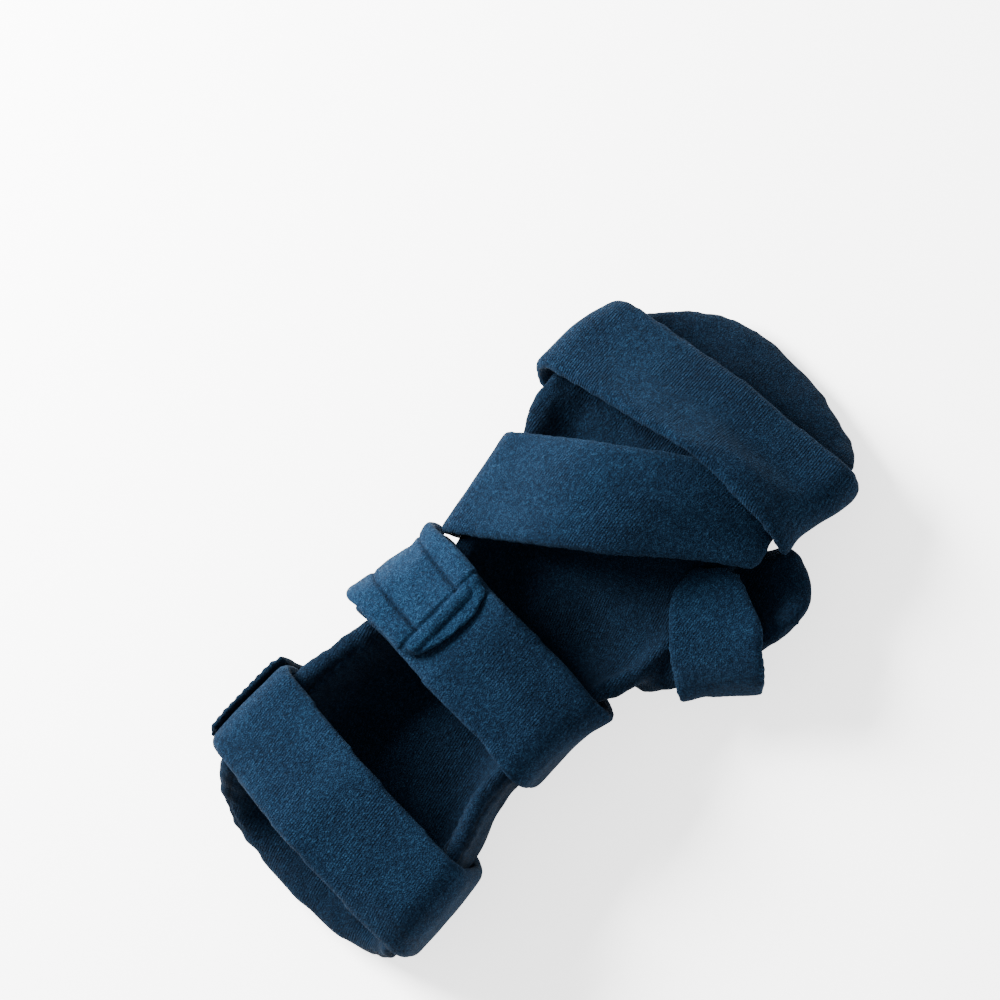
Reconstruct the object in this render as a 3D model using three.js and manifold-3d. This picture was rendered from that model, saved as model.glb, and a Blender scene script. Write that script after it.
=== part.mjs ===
// A resting hand splint. One padded pad is bent into a forearm trough, a palm and a finger pan,
// with a thumb lobe at its side, and padded straps close over it.
// Millimetres. +X runs from the open end of the trough to the tip of the pan, +Y to the
// little-finger side and +Z up. The splint lies on the flat undersides of its two long straps.
import * as THREE from 'three';
import { mergeVertices } from 'three/addons/utils/BufferGeometryUtils.js';
import Module from 'manifold-3d';

const wasm = await Module();
wasm.setup();

// Pad
const padThickness = 11;
const troughLength = 166;
const handLength = 155;
const troughHalfWidth = 54;
const handHalfWidth = 60;
const troughWall = 48;
const handWall = 24;
const wallBend = THREE.MathUtils.degToRad(80);
const bendRadius = 26;
const palmRise = 26;
const scoopRadius = 52;
const tipRadiusUlnar = 55;
const tipRadiusRadial = 24;
const outlinePower = 2.2;
const tipLevel = 2.5;

// Thumb lobe
const thumbLength = 97;
const thumbHalfWidth = 29;
const thumbWall = 15;
const thumbTurn = THREE.MathUtils.degToRad(-15);
const thumbStartX = troughLength + 0.04 * handLength;
const thumbStartY = -0.8 * handHalfWidth;
const thumbRise = 8;
const thumbTipRadius = 20;
const thumbHeelRadius = 30;
const thumbLevel = 19;
const thumbRoll = THREE.MathUtils.degToRad(4);

// Straps
const strapThickness = 6;
const fitGap = 0.4;
const overlapSlack = 0.8;
const forearmStrapWidth = 49;
const forearmStrapStart = 27;
const forearmStrapSkew = THREE.MathUtils.degToRad(-5);
const wristStrapWidth = 50;
const wristStrapStart = 0.687 * troughLength;
const wristStrapSkew = THREE.MathUtils.degToRad(-3);
const handStrapWidth = 48.5;
const handStrapStart = troughLength + 0.206 * handLength;
const handStrapSkew = THREE.MathUtils.degToRad(33);
const handStrapTuck = 26;
const handStrapReach = 92;
const fingerStrapWidth = 48;
const fingerStrapStart = troughLength + 0.387 * handLength;
const fingerStrapSkew = THREE.MathUtils.degToRad(7.5);
const fingerStrapPitch = THREE.MathUtils.degToRad(30);
const fingerStrapTuck = 26;
const fingerStrapHook = 10;
const fingerStrapCorner = 13;
const thumbStrapWidth = 36;
const thumbStrapThickness = 3.8;
const thumbStrapStart = thumbStartX + 0.505 * thumbLength;
const thumbStrapStartY = thumbStartY + 0.24 * thumbHalfWidth;
const thumbStrapSkew = THREE.MathUtils.degToRad(-48);
const thumbRoomWidth = 46;
const thumbRoomMiddle = -22;
const thumbRoomTop = 43;
const thumbRoomArch = 18;
const thumbStrapTuck = 24;
const thumbStrapRoot = 5;
const strapEndCorner = 9;
const tabThickness = 7;
const tabWidth = 46;
const tabOffset = 2.5;
const tabReach = 58;
const tabRoot = 14;
const tabCorner = 8;
const lapThickness = 4;
const lapWidth = 50;
const lapTop = 4;
const lapRoot = 38;

// Colours
const padColour = 0x1b3550;
const strapColour = 0x1d3f63;
const tabColour = 0x244e78;

const floorLevel = strapThickness + fitGap + padThickness / 2;
const tipRise = (tipLevel - floorLevel) / palmRise;
const splintLength = troughLength + handLength;

// at: share of the zone's length. ulnar, radial: half widths as shares of the zone's half width.
// wallU, wallR: wall heights as shares of the zone's wall. bend: share of the wall's bend.
// rise: height of the floor as a share of the palm's rise.
const troughRows = [
  { at: 0.00, ulnar: 1.02, radial: 1.02, wallU: 0.96, wallR: 0.96, bend: 1.00, rise: 0.00 },
  { at: 0.22, ulnar: 1.00, radial: 1.04, wallU: 1.00, wallR: 1.00, bend: 1.00, rise: 0.00 },
  { at: 0.42, ulnar: 0.96, radial: 1.00, wallU: 1.00, wallR: 1.00, bend: 1.00, rise: 0.00 },
  { at: 0.62, ulnar: 0.87, radial: 0.86, wallU: 0.98, wallR: 0.98, bend: 1.00, rise: 0.00 },
  { at: 0.83, ulnar: 0.73, radial: 0.86, wallU: 0.90, wallR: 0.86, bend: 1.00, rise: 0.00 },
];
const handRows = [
  { at: 0.00, ulnar: 0.62, radial: 0.84, wallU: 1.50, wallR: 1.30, bend: 0.95, rise: 0.22 },
  { at: 0.13, ulnar: 0.68, radial: 1.00, wallU: 1.20, wallR: 0.62, bend: 0.85, rise: 0.50 },
  { at: 0.34, ulnar: 0.74, radial: 1.02, wallU: 0.90, wallR: 0.16, bend: 0.75, rise: 0.88 },
  { at: 0.50, ulnar: 0.96, radial: 1.00, wallU: 0.62, wallR: 0.18, bend: 0.60, rise: 1.00 },
  { at: 0.66, ulnar: 1.00, radial: 1.02, wallU: 0.42, wallR: 0.36, bend: 0.50, rise: 0.80 },
  { at: 0.84, ulnar: 0.96, radial: 1.09, wallU: 0.34, wallR: 0.34, bend: 0.45, rise: 0.28 },
  { at: 1.00, ulnar: 0.96, radial: 1.13, wallU: 0.30, wallR: 0.30, bend: 0.45, rise: tipRise },
];
const thumbRows = [
  { at: 0.00, ulnar: 0.60, radial: 0.55, wallU: 0.20, wallR: 0.70, bend: 0.70, rise: 0.00 },
  { at: 0.30, ulnar: 0.62, radial: 0.66, wallU: 0.20, wallR: 1.00, bend: 0.75, rise: 0.10 },
  { at: 0.60, ulnar: 0.52, radial: 0.88, wallU: 0.20, wallR: 1.00, bend: 0.75, rise: 0.50 },
  { at: 1.00, ulnar: 0.34, radial: 0.90, wallU: 0.30, wallR: 0.70, bend: 0.70, rise: 1.00 },
];

// The room over the pad that the straps arch across. x: share of the splint's length.
// middle, half: shares of the hand's half width. high: share of the trough's wall.
const roomRows = [
  { at: 0.00, middle: 0.00, half: 0.58, high: 1.06 },
  { at: 0.30, middle: 0.00, half: 0.54, high: 1.02 },
  { at: 0.50, middle: 0.00, half: 0.50, high: 0.92 },
  { at: 0.60, middle: -0.06, half: 0.66, high: 0.72 },
  { at: 0.72, middle: -0.08, half: 0.68, high: 0.62 },
  { at: 0.80, middle: -0.04, half: 0.66, high: 0.49 },
  { at: 0.88, middle: -0.02, half: 0.64, high: 0.31 },
  { at: 0.94, middle: 0.00, half: 0.62, high: 0.26 },
  { at: 1.00, middle: 0.00, half: 0.58, high: 0.24 },
];

// A smooth curve through one column of a table.
function column(rows, name, at) {
  let i = 0;
  while (i < rows.length - 2 && at > rows[i + 1].at) i += 1;
  const climb = (k) => (rows[k + 1][name] - rows[k][name]) / (rows[k + 1].at - rows[k].at);
  const slope = (k) => {
    const before = climb(Math.max(k - 1, 0));
    const after = climb(Math.min(k, rows.length - 2));
    return before * after > 0 ? 2 * before * after / (before + after) : 0;
  };
  const span = rows[i + 1].at - rows[i].at;
  const t = THREE.MathUtils.clamp((at - rows[i].at) / span, 0, 1);
  const rise = rows[i + 1][name] - rows[i][name];
  const pull = (slope(i) * span - rise) * (1 - t) - (slope(i + 1) * span - rise) * t;
  return rows[i][name] + rise * t + t * (1 - t) * pull;
}

// Rows with real lengths, joined from the trough's and the hand's zones.
function sized(rows, start, length, halfWidth, wall, rise) {
  return rows.map((row) => ({
    at: start + row.at * length,
    ulnar: row.ulnar * halfWidth,
    radial: row.radial * halfWidth,
    wallU: row.wallU * wall,
    wallR: row.wallR * wall,
    bend: row.bend * wallBend,
    level: row.rise * rise,
  }));
}

const bodyRows = [
  ...sized(troughRows, 0, troughLength, troughHalfWidth, troughWall, palmRise),
  ...sized(handRows, troughLength, handLength, handHalfWidth, handWall, palmRise),
];
const lobeRows = sized(thumbRows, 0, thumbLength, thumbHalfWidth, thumbWall, thumbRise);

// Half of a channel: flat floor, a rounded corner and a leaning wall, walked by length.
function channelHalf(halfWidth, wall, bend) {
  const cornerShare = 0.8;
  const radius = Math.min(bendRadius, cornerShare * wall / (1 - Math.cos(bend)));
  const wallRun = (wall - radius * (1 - Math.cos(bend))) / Math.sin(bend);
  const floor = halfWidth - radius * Math.sin(bend) - wallRun * Math.cos(bend);
  const length = floor + radius * bend + wallRun;
  const place = (walked) => {
    const turned = THREE.MathUtils.clamp((walked - floor) / radius, 0, bend);
    const straight = Math.max(walked - floor - radius * bend, 0);
    return {
      across: Math.min(walked, floor) + radius * Math.sin(turned) + straight * Math.cos(bend),
      up: radius * (1 - Math.cos(turned)) + straight * Math.sin(bend),
    };
  };
  return { length, place };
}

// The middle surface of a padded leaf: x along the table, share -1 to 1 across the channel.
function leafSurface(rows) {
  const half = (x, share) => {
    const side = share < 0 ? ['radial', 'wallR'] : ['ulnar', 'wallU'];
    return channelHalf(column(rows, side[0], x), column(rows, side[1], x), column(rows, 'bend', x));
  };
  const point = (x, share) => {
    const channel = half(x, share);
    const { across, up } = channel.place(Math.abs(share) * channel.length);
    const step = 0.5;
    const climb = (column(rows, 'level', x + step) - column(rows, 'level', x - step)) / (2 * step);
    const tilt = Math.atan(climb);
    return new THREE.Vector3(
      x - up * Math.sin(tilt),
      Math.sign(share) * across,
      column(rows, 'level', x) + up * Math.cos(tilt),
    );
  };
  const walk = (x, share) => share * half(x, share).length;
  return { point, walk };
}

// How much of the width is left near a rounded end.
function rounding(distance, radius) {
  const inward = 1 - THREE.MathUtils.clamp(distance / radius, 0, 1);
  return (1 - inward ** outlinePower) ** (1 / outlinePower);
}

function solidGeometry(points, triangles) {
  const corners = new BufferCorners(points);
  triangles.forEach((triangle) => corners.add(triangle));
  return corners.geometry();
}

// Collects triangles on shared corners and leaves out those that have no area.
class BufferCorners {
  constructor(points) {
    const geometry = new THREE.BufferGeometry();
    const flat = points.flatMap((point) => [point.x, point.y, point.z]);
    geometry.setAttribute('position', new THREE.Float32BufferAttribute(flat, 3));
    geometry.setIndex(points.map((point, i) => i));
    const merged = mergeVertices(geometry, 1e-3);
    this.position = merged.getAttribute('position');
    this.shared = merged.getIndex().array;
    this.index = [];
  }

  add(triangle) {
    const [a, b, c] = triangle.map((corner) => this.shared[corner]);
    if (a !== b && b !== c && c !== a) this.index.push(a, b, c);
  }

  geometry() {
    const geometry = new THREE.BufferGeometry();
    geometry.setAttribute('position', this.position);
    geometry.setIndex(this.index);
    return geometry;
  }
}

function distanceToLine(p, a, b) {
  const run = b.clone().sub(a);
  const along = THREE.MathUtils.clamp(p.clone().sub(a).dot(run) / Math.max(run.lengthSq(), 1e-9), 0, 1);
  return a.clone().addScaledVector(run, along).distanceTo(p);
}

// A closed padded leaf: two faces that meet in a rounded rim.
function paddedLeaf(surface, reach, stations, shares) {
  const rim = [-1, 1].map((side) => stations.map((x) => {
    return new THREE.Vector2(x, surface.walk(x, side * reach(x, side)));
  }));
  const halfThickness = (x, walked) => {
    const here = new THREE.Vector2(x, walked);
    let nearest = padThickness;
    rim.forEach((line) => line.slice(1).forEach((end, i) => {
      nearest = Math.min(nearest, distanceToLine(here, line[i], end));
    }));
    const inward = 1 - Math.min(2 * nearest / padThickness, 1);
    return padThickness / 2 * Math.sqrt(1 - inward * inward);
  };
  const step = 0.01;
  const upper = [];
  const lower = [];
  stations.forEach((x) => shares.forEach((portion) => {
    const share = portion * reach(x, portion);
    const middle = surface.point(x, share);
    const along = surface.point(x + 1, share).sub(surface.point(x - 1, share));
    const across = surface.point(x, share + step).sub(surface.point(x, share - step));
    const normal = along.cross(across).normalize();
    const half = Math.abs(portion) === 1 ? 0 : halfThickness(x, surface.walk(x, share));
    upper.push(middle.clone().addScaledVector(normal, half));
    lower.push(middle.clone().addScaledVector(normal, -half));
  }));
  const row = shares.length;
  const triangles = [];
  for (let i = 0; i < stations.length - 1; i += 1) {
    for (let j = 0; j < row - 1; j += 1) {
      const a = i * row + j;
      const [b, c, d] = [a + row, a + row + 1, a + 1];
      triangles.push([a, b, c], [a, c, d]);
      const under = upper.length;
      triangles.push([a + under, c + under, b + under], [a + under, d + under, c + under]);
    }
  }
  return solidGeometry([...upper, ...lower], triangles);
}

// Places along a length, close together at both rounded ends.
function spaced(length, startRadius, endRadius, endSteps, middleSteps) {
  const quarter = (k) => 1 - Math.cos(k / endSteps * Math.PI / 2);
  const starts = Array.from({ length: endSteps }, (_, k) => startRadius * quarter(k));
  const ends = Array.from({ length: endSteps }, (_, k) => length - endRadius * quarter(k)).reverse();
  const span = length - startRadius - endRadius;
  const middles = Array.from({ length: middleSteps + 1 }, (_, k) => startRadius + span * k / middleSteps);
  return [...starts, ...middles, ...ends];
}

// Shares across a leaf from its radial rim (-1) to its ulnar rim (1), close together at the rims.
const rimShare = 0.12;
const padShares = spaced(2, rimShare, rimShare, 3, 14).map((place) => place - 1);

function bodyReach(x, side) {
  const tipRadius = side > 0 ? tipRadiusUlnar : tipRadiusRadial;
  return rounding(x, scoopRadius) * rounding(splintLength - x, tipRadius);
}

const bodySurface = leafSurface(bodyRows);
const bodyStations = spaced(splintLength, scoopRadius, tipRadiusUlnar, 6, 24);
const body = paddedLeaf(bodySurface, bodyReach, bodyStations, padShares);
body.translate(0, 0, floorLevel);

function lobeReach(x) {
  return rounding(x, thumbHeelRadius) * rounding(thumbLength - x, thumbTipRadius);
}

const lobeStations = spaced(thumbLength, thumbHeelRadius, thumbTipRadius, 4, 6);
const lobeRimShare = 0.2;
const lobeShares = spaced(2, lobeRimShare, lobeRimShare, 3, 8).map((place) => place - 1);
const lobe = paddedLeaf(leafSurface(lobeRows), lobeReach, lobeStations, lobeShares);
lobe.rotateX(thumbRoll);
lobe.rotateZ(thumbTurn);
lobe.translate(thumbStartX, thumbStartY, thumbLevel);

function toManifold(geometry) {
  const bare = new THREE.BufferGeometry();
  bare.setAttribute('position', geometry.getAttribute('position'));
  bare.setIndex(geometry.getIndex());
  const merged = mergeVertices(bare, 1e-4);
  return new wasm.Manifold(new wasm.Mesh({
    numProp: 3,
    vertProperties: new Float32Array(merged.getAttribute('position').array),
    triVerts: new Uint32Array(merged.getIndex().array),
  }));
}

function fromManifold(solid) {
  const mesh = solid.getMesh();
  const geometry = new THREE.BufferGeometry();
  geometry.setAttribute('position', new THREE.BufferAttribute(mesh.vertProperties, 3));
  geometry.setIndex(new THREE.BufferAttribute(mesh.triVerts, 1));
  return geometry;
}

const pad = fromManifold(toManifold(body).add(toManifold(lobe)));

// Where a plane across a strap meets the pieces under it, as places beside and above its origin.
function slice(geometry, plane) {
  const position = geometry.getAttribute('position');
  const index = geometry.getIndex();
  const corner = (k) => new THREE.Vector3().fromBufferAttribute(position, index.getX(k)).sub(plane.origin);
  const points = [];
  for (let k = 0; k < index.count; k += 3) {
    const corners = [corner(k), corner(k + 1), corner(k + 2)];
    const sides = corners.map((c) => c.dot(plane.ahead));
    for (let e = 0; e < 3; e += 1) {
      const f = (e + 1) % 3;
      if (sides[e] * sides[f] < 0) {
        const cut = corners[e].clone().lerp(corners[f], sides[e] / (sides[e] - sides[f]));
        points.push(new THREE.Vector2(cut.dot(plane.beside), cut.dot(plane.up)));
      }
    }
  }
  return points;
}

function turnOf(a, b, c) {
  return (b.x - a.x) * (c.y - a.y) - (b.y - a.y) * (c.x - a.x);
}

// The taut line round a set of points, anticlockwise.
function tautLine(points) {
  const sorted = [...points].sort((a, b) => a.x - b.x || a.y - b.y);
  const chain = (list) => {
    const line = [];
    list.forEach((point) => {
      while (line.length > 1 && turnOf(line.at(-2), line.at(-1), point) <= 1e-9) line.pop();
      line.push(point);
    });
    return line.slice(0, -1);
  };
  return [...chain(sorted), ...chain(sorted.reverse())];
}

function grown(line, distance) {
  const sides = 24;
  const ring = Array.from({ length: sides }, (_, k) => k / sides * 2 * Math.PI);
  const points = line.flatMap((p) => ring.map((angle) => {
    return new THREE.Vector2(p.x + distance * Math.cos(angle), p.y + distance * Math.sin(angle));
  }));
  return tautLine(points);
}

// Walks round a taut line from the little-finger side over the top. Corners get more places.
// marks gives the two ends of the walk from the line's own measures.
function route(line, marks, places, closed) {
  const cornerWeight = 35;
  const first = line.reduce((best, p, i) => (p.x > line[best].x ? i : best), 0);
  const loop = [...line.slice(first), ...line.slice(0, first), line[first]];
  const lengths = [0];
  loop.slice(1).forEach((p, i) => lengths.push(lengths[i] + p.distanceTo(loop[i])));
  const around = lengths.at(-1);
  const far = loop.reduce((best, p, i) => (p.x < loop[best].x ? i : best), 0);
  const at = (walked) => {
    const wrapped = ((walked % around) + around) % around;
    let i = 0;
    while (i < lengths.length - 2 && lengths[i + 1] < wrapped) i += 1;
    const part = (wrapped - lengths[i]) / Math.max(lengths[i + 1] - lengths[i], 1e-9);
    return loop[i].clone().lerp(loop[i + 1], part);
  };
  const heading = (walked) => {
    const run = at(walked + 1).sub(at(walked - 1));
    return Math.atan2(run.y, run.x);
  };
  const reached = (beside) => {
    const i = loop.findIndex((p, k) => k < far && loop[k + 1].x <= beside);
    const part = (loop[i].x - beside) / (loop[i].x - loop[i + 1].x);
    return lengths[i] + (lengths[i + 1] - lengths[i]) * part;
  };
  const ends = closed ? [0, around] : marks({ around, far: lengths[far], farBeside: loop[far].x, reached });
  const [start, end] = ends;
  const samples = 400;
  const weights = [0];
  for (let k = 0; k < samples; k += 1) {
    const here = start + (end - start) * k / samples;
    const next = start + (end - start) * (k + 1) / samples;
    const bend = heading(next) - heading(here);
    const turned = Math.abs(Math.atan2(Math.sin(bend), Math.cos(bend)));
    weights.push(weights[k] + (next - here) + cornerWeight * turned);
  }
  const total = weights.at(-1);
  return places.map((place) => {
    let k = 0;
    while (k < samples - 1 && weights[k + 1] < place * total) k += 1;
    const part = (place * total - weights[k]) / Math.max(weights[k + 1] - weights[k], 1e-9);
    const walked = start + (end - start) * (k + part) / samples;
    return { point: at(walked), walked, start, end };
  });
}

function onPlane(plane, beside, up) {
  return plane.origin.clone().addScaledVector(plane.beside, beside).addScaledVector(plane.up, up);
}

// The room's arch over the pad, cut by the same plane.
function roomArch(plane) {
  const points = [];
  const archStep = 4;
  const passes = 4;
  for (let beside = -handHalfWidth; beside <= handHalfWidth; beside += archStep) {
    let up = 0;
    let inside = true;
    for (let pass = 0; pass < passes; pass += 1) {
      const here = onPlane(plane, beside, up);
      const at = here.x / splintLength;
      const half = column(roomRows, 'half', at) * handHalfWidth;
      const off = (here.y - column(roomRows, 'middle', at) * handHalfWidth) / half;
      inside = Math.abs(off) < 1;
      const base = floorLevel + padThickness / 2 + column(bodyRows, 'level', here.x);
      const high = column(roomRows, 'high', at) * troughWall * Math.sqrt(Math.max(1 - off * off, 0));
      up = (base + high - plane.origin.z) / plane.up.z;
    }
    if (inside) points.push(new THREE.Vector2(beside, up));
  }
  return points;
}

// A strap or a lapped end: a padded band with round long edges, drawn taut over what it wraps.
function band({ start, startY = 0, skew, pitch = 0, width, thickness, wraps, arch, marks, closed, count,
  corner, lift = 0 }) {
  const planeCount = 13;
  const slabHalf = width / (planeCount - 1);
  const places = Array.from({ length: count + (closed ? 0 : 1) }, (_, k) => k / count);
  const turn = new THREE.Matrix4().makeRotationZ(skew).multiply(new THREE.Matrix4().makeRotationY(pitch));
  const [ahead, beside, up] = [new THREE.Vector3(), new THREE.Vector3(), new THREE.Vector3()];
  turn.extractBasis(ahead, beside, up);
  const origin = new THREE.Vector3(start, startY, 0);
  const layers = Array.from({ length: planeCount }, (_, k) => {
    const planeAt = (along) => ({ origin: origin.clone().addScaledVector(ahead, along), ahead, beside, up });
    const along = width * k / (planeCount - 1);
    const plane = planeAt(along);
    const cuts = [-slabHalf, 0, slabHalf].map((off) => planeAt(along + off));
    const carried = cuts.flatMap((cut) => wraps.flatMap(({ piece, from = -Infinity, to = Infinity }) => {
      return slice(piece, cut).filter((point) => point.x > from && point.x < to);
    }));
    const inner = tautLine([...carried, ...arch(plane)]);
    return [0, thickness].map((depth) => {
      const line = grown(inner, fitGap + lift + depth);
      return route(line, marks, places, closed).map((stop) => ({
        place: onPlane(plane, stop.point.x, stop.point.y),
        fromEnd: Math.max(Math.min(stop.walked - stop.start, stop.end - stop.walked), 0),
      }));
    });
  });
  const middleLayer = layers[Math.floor(planeCount / 2)][0];
  const spot = (place, along, depth) => {
    const across = along / width * (planeCount - 1);
    const k = THREE.MathUtils.clamp(Math.floor(across), 0, planeCount - 2);
    const t = across - k;
    const pick = (level) => layers[k][level][place].place.clone().lerp(layers[k + 1][level][place].place, t);
    return pick(0).lerp(pick(1), depth / thickness);
  };
  const edge = thickness / 2;
  const turns = [0, 1, 2, 3, 4].map((k) => k / 4 * Math.PI);
  const nearEdge = turns.map((a) => [edge - edge * Math.sin(a), edge + edge * Math.cos(a)]);
  const farEdge = turns.map((a) => [width - edge + edge * Math.sin(a), edge - edge * Math.cos(a)]);
  const flats = [0.25, 0.5, 0.75];
  const profile = [
    ...nearEdge,
    ...flats.map((f) => [edge + (width - 2 * edge) * f, 0]),
    ...farEdge,
    ...flats.map((f) => [width - edge - (width - 2 * edge) * f, thickness]),
  ];
  const points = [];
  places.forEach((_, place) => {
    const fromEnd = closed ? Infinity : middleLayer[place].fromEnd;
    const bevel = 1 - Math.min(fromEnd / edge, 1);
    const slim = Math.sqrt(1 - bevel * bevel);
    const inset = corner ? corner * (1 - Math.sqrt(1 - (1 - Math.min(fromEnd / corner, 1)) ** 2)) : 0;
    profile.forEach(([along, depth]) => {
      const narrowed = width / 2 + (along - width / 2) * (1 - 2 * inset / width);
      points.push(spot(place, narrowed, edge + (depth - edge) * slim));
    });
  });
  const ring = profile.length;
  const triangles = [];
  const steps = closed ? places.length : places.length - 1;
  for (let i = 0; i < steps; i += 1) {
    const next = (i + 1) % places.length;
    for (let j = 0; j < ring; j += 1) {
      const side = (j + 1) % ring;
      const [a, b, c, d] = [i * ring + j, i * ring + side, next * ring + side, next * ring + j];
      triangles.push([a, b, c], [a, c, d]);
    }
  }
  return solidGeometry(points, triangles);
}

const forearmStrap = band({
  start: forearmStrapStart,
  skew: forearmStrapSkew,
  width: forearmStrapWidth,
  thickness: strapThickness,
  wraps: [{ piece: pad }],
  arch: roomArch,
  closed: true,
  count: 48,
});

const forearmTab = band({
  start: forearmStrapStart,
  skew: forearmStrapSkew,
  width: lapWidth,
  thickness: lapThickness,
  wraps: [{ piece: pad }],
  arch: roomArch,
  lift: strapThickness + fitGap,
  marks: () => [-lapRoot, lapTop],
  corner: tabCorner,
  count: 14,
});

const wristStrap = band({
  start: wristStrapStart,
  skew: wristStrapSkew,
  width: wristStrapWidth,
  thickness: strapThickness,
  wraps: [{ piece: pad }],
  arch: roomArch,
  closed: true,
  count: 48,
});

const wristTab = band({
  start: wristStrapStart + tabOffset,
  skew: wristStrapSkew,
  width: tabWidth,
  thickness: tabThickness,
  wraps: [{ piece: pad }],
  arch: roomArch,
  lift: strapThickness + 2 * fitGap,
  marks: () => [-tabRoot, tabReach],
  corner: tabCorner,
  count: 16,
});

// The room over the thumb lobe that its strap arches across.
function thumbArch(plane) {
  const points = [];
  const half = thumbRoomWidth / 2;
  const archStep = 0.125;
  for (let off = -1; off <= 1; off += archStep) {
    const beside = thumbRoomMiddle + off * half;
    const up = thumbRoomTop + thumbRoomArch * (Math.sqrt(1 - off * off) - 1);
    points.push(new THREE.Vector2(beside, up));
  }
  return points;
}

const thumbStrap = band({
  start: thumbStrapStart,
  startY: thumbStrapStartY,
  skew: thumbStrapSkew,
  width: thumbStrapWidth,
  thickness: thumbStrapThickness,
  wraps: [{ piece: pad, to: thumbStrapRoot + thumbStrapThickness / 2 }],
  arch: thumbArch,
  marks: ({ reached, far }) => [reached(thumbStrapRoot), far + thumbStrapTuck],
  corner: strapEndCorner,
  count: 30,
});

const handStrap = band({
  start: handStrapStart,
  skew: handStrapSkew,
  width: handStrapWidth,
  thickness: strapThickness,
  wraps: [{ piece: body }, { piece: thumbStrap, from: thumbStrapRoot - handStrapReach }],
  arch: roomArch,
  marks: ({ reached, far, farBeside }) => {
    return [-handStrapTuck, farBeside > -handStrapReach ? far : reached(-handStrapReach)];
  },
  corner: strapEndCorner,
  count: 34,
});

const fingerStrap = band({
  start: fingerStrapStart,
  skew: fingerStrapSkew,
  pitch: fingerStrapPitch,
  width: fingerStrapWidth,
  thickness: strapThickness,
  wraps: [{ piece: body }, { piece: handStrap }],
  lift: overlapSlack,
  arch: roomArch,
  marks: ({ far }) => [-fingerStrapTuck, far + fingerStrapHook],
  corner: fingerStrapCorner,
  count: 50,
});

const group = new THREE.Group();
const cloth = (color) => new THREE.MeshStandardMaterial({ color, roughness: 0.95, metalness: 0 });
function addPiece(name, geometry, color) {
  const piece = new THREE.Mesh(geometry, cloth(color));
  piece.name = name;
  group.add(piece);
}

addPiece('splint_pad', pad, padColour);
addPiece('forearm_strap', forearmStrap, strapColour);
addPiece('forearm_tab', forearmTab, padColour);
addPiece('wrist_strap', wristStrap, strapColour);
addPiece('wrist_tab', wristTab, tabColour);
addPiece('thumb_strap', thumbStrap, strapColour);
addPiece('hand_strap', handStrap, strapColour);
addPiece('finger_strap', fingerStrap, strapColour);

// The origin lies under the middle of the whole splint, on the surface that it rests on.
const extent = new THREE.Box3().setFromObject(group);
const middle = extent.getCenter(new THREE.Vector3());
group.position.set(-middle.x, -middle.y, -extent.min.z);

export default group;
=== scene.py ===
# A resting hand splint in brushed navy fleece: a padded trough, palm and finger pan with a thumb
# lobe, closed by padded straps. Metres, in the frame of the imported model.
import bpy
import math
import numpy as np
from mathutils import Matrix, Vector
from mathutils.kdtree import KDTree


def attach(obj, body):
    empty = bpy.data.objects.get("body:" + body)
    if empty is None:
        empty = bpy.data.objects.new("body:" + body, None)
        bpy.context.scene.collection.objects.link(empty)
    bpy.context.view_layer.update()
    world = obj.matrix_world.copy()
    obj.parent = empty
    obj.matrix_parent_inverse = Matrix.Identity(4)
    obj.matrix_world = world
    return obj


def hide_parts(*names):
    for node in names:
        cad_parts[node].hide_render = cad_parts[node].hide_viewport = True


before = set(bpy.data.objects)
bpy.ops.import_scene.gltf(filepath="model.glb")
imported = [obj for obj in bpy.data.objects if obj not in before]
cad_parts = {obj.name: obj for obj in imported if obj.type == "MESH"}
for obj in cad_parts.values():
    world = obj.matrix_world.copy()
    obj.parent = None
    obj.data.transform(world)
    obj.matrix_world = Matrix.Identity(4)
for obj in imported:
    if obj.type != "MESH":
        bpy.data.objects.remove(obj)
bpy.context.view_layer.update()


# Splint pad
# One sewn fleece cover over foam: trough, palm, pan and thumb lobe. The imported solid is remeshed,
# smoothed and blown up a little as cloth, and the trough's rim is overlocked above a stitch line.
class Value:
    """One output of a material's node, so that shader maths reads as Python."""

    def __init__(self, fabric, socket):
        self.fabric = fabric
        self.socket = socket

    def maths(self, operation, first, second):
        return self.fabric.node("ShaderNodeMath", {"operation": operation}, {0: first, 1: second})

    def __add__(self, other):
        return self.maths("ADD", self, other)

    def __radd__(self, other):
        return self.maths("ADD", other, self)

    def __sub__(self, other):
        return self.maths("SUBTRACT", self, other)

    def __rsub__(self, other):
        return self.maths("SUBTRACT", other, self)

    def __mul__(self, other):
        return self.maths("MULTIPLY", self, other)

    def __rmul__(self, other):
        return self.maths("MULTIPLY", other, self)


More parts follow.
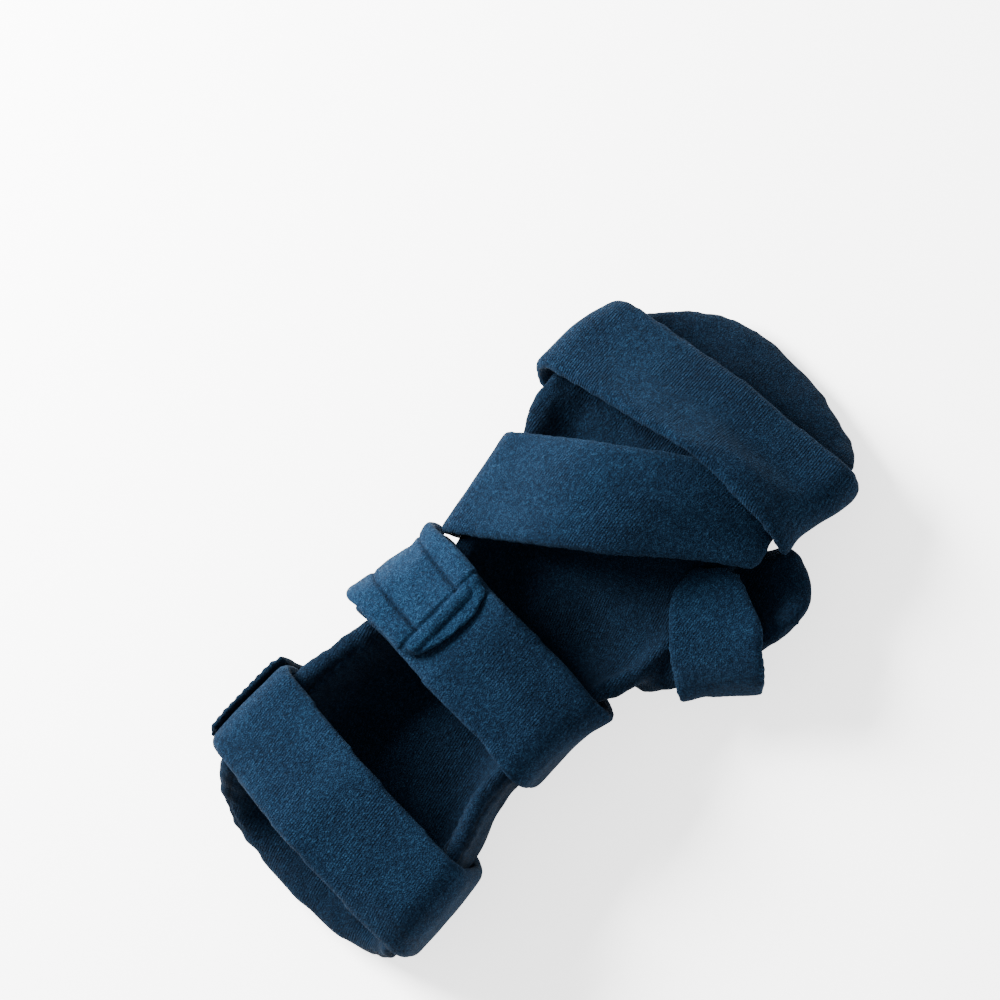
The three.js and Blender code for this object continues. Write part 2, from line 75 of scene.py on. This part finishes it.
class Fabric:
    """A material whose nodes are added one call at a time."""

    def __init__(self, name):
        self.material = bpy.data.materials.new(name)
        self.material.use_nodes = True
        self.tree = self.material.node_tree
        self.shader = self.tree.nodes["Principled BSDF"]

    def fill(self, node, sockets):
        """Links each named socket where it is given another node's output, and else sets it."""
        for key, value in sockets.items():
            socket = node.inputs[key]
            if isinstance(value, Value):
                self.tree.links.new(value.socket, socket)
            else:
                socket.default_value = value

    def node(self, kind, settings, sockets, output=0):
        """Adds a node, first its settings and then its sockets, and gives one of its outputs."""
        made = self.tree.nodes.new(kind)
        for key, value in settings.items():
            setattr(made, key, value)
        self.fill(made, sockets)
        return Value(self, made.outputs[output])

    def noise(self, place, size, detail=2.0, contrast=1.0):
        """Noise from 0 to 1 with blobs of the given size in metres."""
        sockets = {"Vector": place, "Scale": 1 / size, "Detail": detail}
        made = self.node("ShaderNodeTexNoise", {}, sockets)
        spread = 0.25 / contrast
        ends = {"Value": made, "From Min": 0.5 - spread, "From Max": 0.5 + spread}
        return self.node("ShaderNodeMapRange", {"clamp": True}, ends)

    def mix(self, factor, first, second):
        """A mix of two colours, which are sockets 6 and 7 and output 2 of the node."""
        sockets = {0: factor, 6: first, 7: second}
        return self.node("ShaderNodeMix", {"data_type": "RGBA"}, sockets, output=2)


def fleece(name, dark, mid, light, ribs=0.0, turn=0.0):
    """Brushed fleece: speckled nap over cloudy dye, with knit ribs where the nap is worn thin, and
    painted shade darkening the sewn creases.
    """
    nap_size, tuft_size, cloud_size, worn_size = 0.0006, 0.0016, 0.016, 0.030
    rib_pitch = 0.0012
    bump_depth = 0.0006
    fabric = Fabric(name)
    place = fabric.node("ShaderNodeTexCoord", {}, {}, output="Object")
    nap = fabric.noise(place, nap_size, contrast=1.9)
    tufts = fabric.noise(place, tuft_size, contrast=1.4)
    clouds = fabric.noise(place, cloud_size)
    turned = fabric.node("ShaderNodeMapping", {}, {"Vector": place, "Rotation": (0, 0, turn)})
    bands = {"wave_type": "BANDS", "bands_direction": "X"}
    # A wave texture has 20 times its scale over tau bands in a metre.
    lines = fabric.node("ShaderNodeTexWave", bands, {
        "Vector": turned,
        "Scale": 1 / rib_pitch / 20 * math.tau,
        "Distortion": 1.2,
        "Detail": 1.0,
        "Detail Scale": 2.0,
    })
    worn = fabric.noise(place, worn_size, detail=1.0, contrast=2.0) * ribs
    # Painted shade: a mesh attribute darkens the colour along sewn creases, where shade falls.
    crease_shade = fabric.node("ShaderNodeAttribute", {"attribute_name": "crease_shade"}, {}, output="Fac")
    tone = 0.50 * nap + 0.34 * tufts + 0.16 * clouds
    tone = tone - 0.22 * worn * lines - 0.9 * crease_shade
    low = fabric.mix(tone * 2.0, (*dark, 1), (*mid, 1))
    colour = fabric.mix(tone * 2.0 - 1.0, low, (*light, 1))
    height = 0.6 * nap + 0.4 * tufts + worn * lines
    bump = {"Strength": 0.8, "Distance": bump_depth, "Height": height}
    normal = fabric.node("ShaderNodeBump", {}, bump)
    fabric.fill(fabric.shader, {
        "Base Color": colour,
        "Roughness": 0.96,
        "Normal": normal,
        "Specular IOR Level": 0.03,
        "Sheen Weight": 0.025,
        "Sheen Roughness": 0.40,
        "Sheen Tint": (0.30, 0.50, 0.75, 1),
    })
    return fabric.material


def baked(piece):
    """The piece's mesh with its modifiers worked in."""
    bpy.context.view_layer.update()
    graph = bpy.context.evaluated_depsgraph_get()
    mesh = bpy.data.meshes.new_from_object(piece.evaluated_get(graph))
    piece.modifiers.clear()
    piece.data = mesh
    return piece


def places(mesh):
    """Each point's place, one row a point."""
    flat = np.zeros(len(mesh.vertices) * 3)
    mesh.vertices.foreach_get("co", flat)
    return flat.reshape(-1, 3)


def normals(mesh):
    """Each point's outward direction, one row a point."""
    flat = np.zeros(len(mesh.vertices) * 3)
    mesh.vertices.foreach_get("normal", flat)
    return flat.reshape(-1, 3)


def put(mesh, points):
    """Moves the mesh's points to the given places."""
    mesh.vertices.foreach_set("co", points.ravel())
    mesh.update()


def smoothed(mesh, points, rounds, inward=0.5, outward=-0.52):
    """Evens the points out without shrinking the shape: each round pulls in, then pushes back."""
    edges = np.zeros(len(mesh.edges) * 2, int)
    mesh.edges.foreach_get("vertices", edges)
    a, b = edges.reshape(-1, 2).T
    count = np.bincount(np.r_[a, b], minlength=len(points))[:, None]
    for _ in range(rounds):
        for pull in (inward, outward):
            total = np.zeros_like(points)
            for axis in range(3):
                from_b = np.bincount(a, points[b, axis], len(points))
                from_a = np.bincount(b, points[a, axis], len(points))
                total[:, axis] = from_b + from_a
            points = points + pull * (total / count - points)
    return points


def rumple(points, wavelength, seed, waves=14):
    """Soft random hills between about -1 and 1, made of waves that run in many directions."""
    random = np.random.default_rng(seed)
    total = np.zeros(len(points))
    for _ in range(waves):
        heading = random.normal(size=3)
        heading *= math.tau / wavelength * random.uniform(0.7, 1.4) / np.linalg.norm(heading)
        total += np.sin(points @ heading + random.uniform(0, math.tau))
    return total / math.sqrt(waves)


def puffed(piece, cap, pressure, frames=20):
    """Blows the cover up as cloth from a smaller start; no point moves further than the cap."""
    shrink = 0.6 * cap
    start = places(piece.data) - shrink * normals(piece.data)
    put(piece.data, start)
    cloth = piece.modifiers.new("puff", "CLOTH")
    cloth.settings.use_pressure = True
    cloth.settings.uniform_pressure_force = pressure
    cloth.settings.effector_weights.gravity = 0
    for number in range(1, frames + 1):
        bpy.context.scene.frame_set(number)
    baked(piece)
    bpy.context.scene.frame_set(1)
    moved = places(piece.data) - start
    length = np.linalg.norm(moved, axis=1)[:, None] + 1e-9
    put(piece.data, start + moved * cap * np.tanh(length / cap) / length)


def soft_copy(name, node, voxel, rounds, cap=0.0, pressure=4.0):
    """A fine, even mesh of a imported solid, smoothed, and blown up as cloth where it has a cap."""
    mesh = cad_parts[node].data.copy()
    mesh.materials.clear()
    piece = bpy.data.objects.new(name, mesh)
    bpy.context.scene.collection.objects.link(piece)
    remesh = piece.modifiers.new("even", "REMESH")
    remesh.mode = "VOXEL"
    remesh.voxel_size = voxel
    remesh.use_smooth_shade = True
    baked(piece)
    put(piece.data, smoothed(piece.data, places(piece.data), rounds))
    if cap:
        puffed(piece, cap, pressure)
        put(piece.data, smoothed(piece.data, places(piece.data), 2))
    fine = piece.modifiers.new("fine", "SUBSURF")
    fine.levels = 1
    baked(piece)
    piece.data.polygons.foreach_set("use_smooth", [True] * len(piece.data.polygons))
    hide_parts(node)
    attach(piece, "root")
    return piece


def paint_crease_shade(piece, shade):
    """Notes on the mesh where sewn creases lie, from 0 to 1, for the fleece to darken as painted
    shade.
    """
    crease_shade = piece.data.attributes.new("crease_shade", "FLOAT", "POINT")
    crease_shade.data.foreach_set("value", np.clip(shade, 0, 1).astype(np.float32))


def push(piece, height):
    """Moves each point along its normal by its height, but never down through the surface."""
    points = places(piece.data) + normals(piece.data) * height[:, None]
    points[:, 2] = np.maximum(points[:, 2], 0)
    put(piece.data, points)


def off_rim(points, first, last, step=0.003, half_slab=0.0025, off_middle=0.016):
    """How far each point lies from the trough's upper rim on its own side, past both ends too.

    The rim is the highest point of a thin slab at each station. The trough's middle lies off the
    middle of the whole width.
    """
    distance = np.zeros(len(points))
    middle = (points[:, 1].min() + points[:, 1].max()) / 2 + off_middle
    stations = np.arange(first, last, step)
    for side in (points[:, 1] < middle, points[:, 1] >= middle):
        own = points[side]
        tops = []
        for x in stations:
            slab = own[np.abs(own[:, 0] - x) < half_slab]
            tops.append(slab[slab[:, 2].argmax(), 1:])
        y, z = (np.interp(own[:, 0], stations, column) for column in np.array(tops).T)
        distance[side] = np.hypot(own[:, 1] - y, own[:, 2] - z)
    return distance


def crease(distance, width):
    """1 on a line, and falling away smoothly over about the width on both sides of it."""
    return np.exp(-(distance / width) ** 2)


stitch_pitch = 0.0055
stitch_inset = 0.0062
pucker_inset = 0.0085
pad = soft_copy("pad_cover", "splint_pad", voxel=0.0026, rounds=26, cap=0.0012)
points = places(pad.data)
push(pad, 0.0006 * rumple(points, 0.036, 1) + 0.0002 * rumple(points, 0.011, 2) - 0.0002)
rim_gap = off_rim(points, -0.155, 0.006)
past_open_end = np.clip((points[:, 0] + 0.158) / 0.006, 0, 1)
before_palm = np.clip((0.005 - points[:, 0]) / 0.02, 0, 1)
trough_part = before_palm * past_open_end
stitch_wave = np.cos(points[:, 0] * math.tau / stitch_pitch)
scallops = 0.00035 * stitch_wave * crease(rim_gap, 0.0032)
stitch_line = 0.0004 * crease(rim_gap - stitch_inset, 0.0011)
puckers = 0.0003 * stitch_wave * crease(rim_gap - pucker_inset, 0.0030)
push(pad, (scallops - stitch_line + puckers) * trough_part)
# Painted shade along the groove of the stitch line below the trough's rim.
paint_crease_shade(pad, 0.4 * crease(rim_gap - stitch_inset, 0.0008) * trough_part)
pad_navy = (0.0007, 0.0019, 0.0040), (0.0016, 0.0052, 0.0120), (0.0045, 0.0150, 0.0310)
pad.data.materials.append(fleece("pad_fleece", *pad_navy, ribs=0.7, turn=1.4))


# Forearm strap
# A padded band of foam in the same fleece, wrapped flat round the trough near its open end. It is
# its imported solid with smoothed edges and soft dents.
def strap(name, node, seed, dent):
    """A padded band with broad soft dents of a given depth, and faint small ones."""
    piece = soft_copy(name, node, voxel=0.0021, rounds=16)
    points = places(piece.data)
    broad = rumple(points, 0.055, seed)
    small = rumple(points, 0.012, seed + 1)
    push(piece, dent * broad + 0.15 * dent * small)
    return piece


strap_navy = (0.0007, 0.0022, 0.0050), (0.0020, 0.0076, 0.0180), (0.0078, 0.0240, 0.0480)
strap_fleece = fleece("strap_fleece", *strap_navy, ribs=0.4, turn=1.5)
forearm_strap = strap("forearm_band", "forearm_strap", 11, 0.0003)
forearm_strap.data.materials.append(strap_fleece)


# Forearm tab
# The lapped end of the forearm strap, of the same padded fleece with a little painted shade in its
# colour. It lies low on the trough's outer side, ribbed lengthwise so that its rim shows as serged.
def ways(degrees):
    """The directions across and along a strap that is turned by an angle from square."""
    turn = math.radians(degrees)
    across_way = np.array([math.cos(turn), math.sin(turn), 0])
    along_way = np.array([-math.sin(turn), math.cos(turn), 0])
    return across_way, along_way


serge_pitch = 0.0042
forearm_tab = strap("forearm_lap", "forearm_tab", 15, 0.0001)
across_way, along_way = ways(-5)
serging = np.sin(places(forearm_tab.data) @ across_way * math.tau / serge_pitch)
push(forearm_tab, 0.00025 * serging)
# Painted shade: these tones are a little darker than the pad's, against the key light that falls
# full on the lap.
lap_shaded_navy = (0.0006, 0.0018, 0.0040), (0.0015, 0.0050, 0.0115), (0.0045, 0.0140, 0.0280)
forearm_tab.data.materials.append(fleece("lap_shaded_fleece", *lap_shaded_navy))


# Wrist strap
# A padded band made like the forearm strap, wrapped round the trough where it meets the palm. On
# top it is drawn a little towards the pan.
def ramp(value, low, high):
    """Rises smoothly from 0 at the low value to 1 at the high one."""
    share = np.clip((value - low) / (high - low), 0, 1)
    return share * share * (3 - 2 * share)


def bow(piece, reach=0.0036):
    """Draws a band towards the pan where it lies on top, less so near its two folds."""
    points = places(piece.data)
    x, y, z = points.T
    between = ramp(y, 0.080, 0.045) * ramp(y, -0.045, -0.015)
    points[:, 0] = x + reach * between * ramp(z, 0.030, 0.048)
    put(piece.data, points)


wrist_strap = strap("wrist_band", "wrist_strap", 21, 0.0003)
bow(wrist_strap)
wrist_strap.data.materials.append(strap_fleece)


# Wrist tab
# The wrist strap's puffy end in a lighter fleece, lapped on top of the strap. Two seams run along
# it, and a welt is rolled across its free end, over a thinner second layer.
def on_strip(points, across_way, along_way):
    """How far each point lies across and along a strip, from the strip's own edge and end."""
    across = points @ across_way
    along = points @ along_way
    return across - across.min(), along - along.min()


def inset(across, along, width, corner):
    """How far inside a strip's outline a point lies; the strip has one end, with round corners."""
    sideways = np.abs(across - width / 2) - (width / 2 - corner)
    forward = corner - along
    outside = np.hypot(np.maximum(sideways, 0), np.maximum(forward, 0))
    return corner - outside - np.minimum(np.maximum(sideways, forward), 0)


near_seam = 0.0145
far_seam_inset = 0.0112
end_seam_place = 0.0130
welt_place = 0.0094
layer_inset = 0.0060
wrist_tab = soft_copy("wrist_lap", "wrist_tab", voxel=0.0013, rounds=14, cap=0.0008, pressure=16.0)
bow(wrist_tab)
points = places(wrist_tab.data)
across_way, along_way = ways(-3)
across, along = on_strip(points, across_way, along_way)
widening = ramp(across, 0.012, across.max()) * 0.0028
put(wrist_tab.data, points + across_way * widening[:, None])
points = places(wrist_tab.data)
across = across + widening
tab_width = across.max()
strap_tree = KDTree(len(wrist_strap.data.vertices))
for index, vertex in enumerate(wrist_strap.data.vertices):
    strap_tree.insert(vertex.co, index)
strap_tree.balance()
off_strap = np.array([strap_tree.find(point)[2] for point in points])
upper = ramp(off_strap, 0.002, 0.005)
rim_inset = inset(across, along, tab_width, corner=0.009)
end_part = ramp(along, 0.014, 0.009)
lower_layer = ramp(rim_inset, layer_inset, layer_inset - 0.0010) * end_part
layer_edge = crease(rim_inset - layer_inset, 0.0008) * end_part
welt = crease(along - welt_place, 0.0036)
past_welt = ramp(along, 0.0120, 0.0135)
seam_gap = np.minimum(np.abs(across - near_seam), np.abs(tab_width - far_seam_inset - across))
side_seams = crease(seam_gap, 0.0009) * past_welt
end_seam = crease(along - end_seam_place, 0.0008)
puff = (1 - crease(seam_gap, 0.0045)) * past_welt
calmer = 1 - 0.6 * ramp(along, 0.030, 0.042)
height = (0.0010 * puff - 0.0020 * side_seams) * calmer
height += 0.0010 * welt - 0.0008 * end_seam - 0.0005 * lower_layer - 0.0009 * layer_edge
height += 0.0002 * rumple(points, 0.012, 26)
push(wrist_tab, height * upper)
# Painted shade in the creases of the side seams, the end seam and the lower layer's edge.
paint_crease_shade(wrist_tab, (0.38 * side_seams + 0.15 * end_seam + 0.22 * layer_edge) * upper)
tab_navy = (0.0009, 0.0033, 0.0080), (0.0030, 0.0115, 0.0270), (0.0105, 0.0330, 0.0640)
wrist_tab.data.materials.append(fleece("tab_fleece", *tab_navy))

# Thumb strap
# A narrower padded band of foam and fleece over the thumb lobe. It flares to its tip side where it
# turns down round the lobe's edge.
thumb_strap = strap("thumb_band", "thumb_strap", 31, 0.0004)
points = places(thumb_strap.data)
across_way, along_way = ways(-48)
across, along = on_strip(points, across_way, along_way)
flare = 0.0070 * ramp(along, 0.048, 0.026) * (0.45 + 0.55 * ramp(along, 0, 0.014))
flare *= ramp(across / across.max(), 0.3, 1) * ramp(points[:, 2], 0.020, 0.034)
put(thumb_strap.data, points + across_way * flare[:, None])
thumb_strap.data.materials.append(strap_fleece)

# Hand strap
# A padded band of foam and fleece that crosses over the palm at a slant, with both ends under the
# pad's edges. It narrows towards its end on the thumb lobe's side.
hand_strap = strap("hand_band", "hand_strap", 41, 0.0003)
points = places(hand_strap.data)
across_way, along_way = ways(33)
across, along = on_strip(points, across_way, along_way)
taper = 0.0050 * (1 - across / across.max()) * ramp(along, 0.070, 0.020)
put(hand_strap.data, points + across_way * taper[:, None])
hand_strap.data.materials.append(strap_fleece)

# Finger strap
# A padded band of foam and fleece across the pan, over the end of the hand strap. Its nap is worn
# thinner, so that more of the knit ribs shows.
finger_strap = strap("finger_band", "finger_strap", 51, 0.0003)
worn_fleece = fleece("worn_fleece", *strap_navy, ribs=0.7, turn=1.34)
finger_strap.data.materials.append(worn_fleece)

# Surface
# A plain pale floor that the splint lies on. It glows evenly, so that it stays near white.
paper = Fabric("paper")
paper.fill(paper.shader, {
    "Base Color": (0.95, 0.95, 0.95, 1),
    "Roughness": 0.9,
    "Emission Color": (1, 1, 1, 1),
    "Emission Strength": 2.0,
})
side = 6
corners = [(-side, -side, 0), (side, -side, 0), (side, side, 0), (-side, side, 0)]
floor_mesh = bpy.data.meshes.new("floor")
floor_mesh.from_pydata(corners, [], [(0, 1, 2, 3)])
floor = bpy.data.objects.new("floor", floor_mesh)
bpy.context.scene.collection.objects.link(floor)
floor.data.materials.append(paper.material)

# Camera
# It looks down along a long lens, turned so that the splint runs from lower left to upper right.
# The picture is as wide as view_width at the height of view_lift above the aim.
view_width = 0.430
view_lift = 0.045
right = Vector((0.649, -0.677, -0.344)).normalized()
back = right.cross(Vector((0.7475, 0.6522, 0.1268))).normalized()
up = back.cross(right)
aim = Vector((0.0262, 0.0740, -0.0068))
camera_data = bpy.data.cameras.new("camera")
camera_data.lens = 400
camera_data.sensor_width = 36
camera = bpy.data.objects.new("camera", camera_data)
bpy.context.scene.collection.objects.link(camera)
distance = view_width * camera_data.lens / camera_data.sensor_width + view_lift
turned = Matrix((right, up, back)).transposed().to_4x4()
camera.matrix_world = Matrix.Translation(aim + back * distance) @ turned
bpy.context.scene.camera = camera

# Light
# One broad soft light from the picture's upper left, and a pale sky all round.
key_data = bpy.data.lights.new("key_light", "AREA")
key_data.energy = 104
key_data.size = 0.55
key_light = bpy.data.objects.new("key_light", key_data)
bpy.context.scene.collection.objects.link(key_light)
key_spot = right * -0.95 + up * 0.60 + back * 0.32
key_light.location = key_spot
key_light.rotation_mode = "QUATERNION"
key_light.rotation_quaternion = key_spot.to_track_quat("Z", "Y")
sky = bpy.data.worlds.new("sky")
sky.use_nodes = True
sky.node_tree.nodes["Background"].inputs["Color"].default_value = (1, 1, 1, 1)
sky.node_tree.nodes["Background"].inputs["Strength"].default_value = 1.15
bpy.context.scene.world = sky
